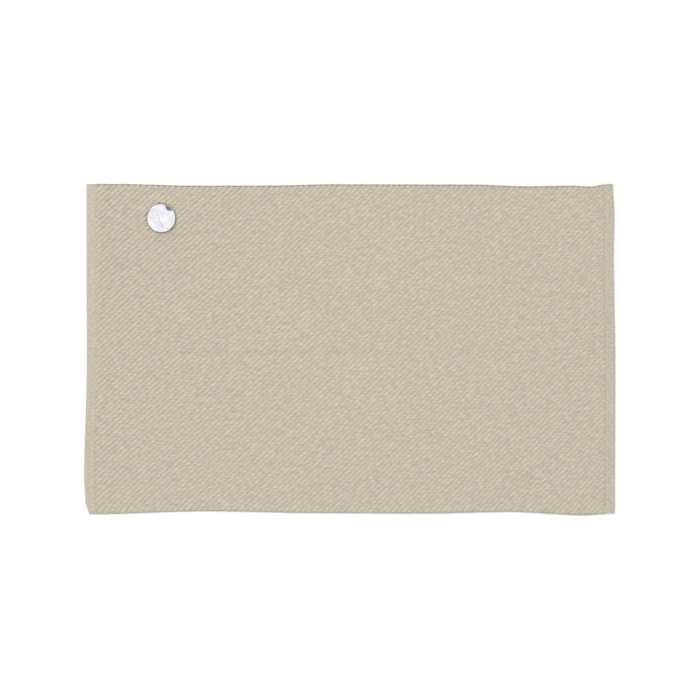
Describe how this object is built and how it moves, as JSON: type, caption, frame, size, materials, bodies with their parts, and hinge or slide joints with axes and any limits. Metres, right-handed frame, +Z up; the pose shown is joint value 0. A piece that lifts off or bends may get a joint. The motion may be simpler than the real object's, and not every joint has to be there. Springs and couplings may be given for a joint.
{
  "type": "golf towel",
  "caption": "Small ribbed cotton towel laid flat, with stitched end hems and a round polished magnetic clasp pinching the cloth near one corner.",
  "frame": {"origin": "on the table plane, at the centre of the flat towel's footprint", "axes": "+X along the towel's length, away from the clasp's end; +Y across it, towards the clasp's edge; +Z up, out of the face that the front cap is on"},
  "size_m": [0.61, 0.381, 0.0095],
  "materials": {
    "ribbed_cotton": "matte diagonal-ribbed weave",
    "plain_cotton": "matte plain weave",
    "sewing_thread": "matte spun thread",
    "polished_steel": "mirror polished",
    "nickel_plate": "satin nickel plate",
    "black_plastic": "matte"
  },
  "bodies": {
    "towel": {"towel_field": "ribbed_cotton", "left_hem": "plain_cotton", "right_hem": "plain_cotton", "top_selvedge": "plain_cotton", "bottom_selvedge": "plain_cotton", "left_hem_thread": "sewing_thread", "right_hem_thread": "sewing_thread"},
    "front_core": {"front_magnet": "nickel_plate"},
    "front_shell": {"front_cap": "polished_steel", "front_base_plate": "black_plastic"},
    "rear_core": {"rear_magnet": "nickel_plate"},
    "rear_shell": {"rear_cap": "polished_steel", "rear_base_plate": "black_plastic"}
  },
  "joints": [
    {"name": "front_lift", "type": "slide", "parent": "towel", "child": "front_core", "axis": [0, 0, 1], "range_m": [0, 0.04]},
    {"name": "front_turn", "type": "hinge", "parent": "front_core", "child": "front_shell", "pos_m": [-0.2177, 0.1502, 0.0057], "axis": [0, 0, 1], "continuous": true},
    {"name": "rear_drop", "type": "slide", "parent": "towel", "child": "rear_core", "axis": [0, 0, -1], "range_m": [0, 0.03]},
    {"name": "rear_turn", "type": "hinge", "parent": "rear_core", "child": "rear_shell", "pos_m": [-0.2177, 0.1502, 0.0033], "axis": [0, 0, 1], "continuous": true}
  ]
}
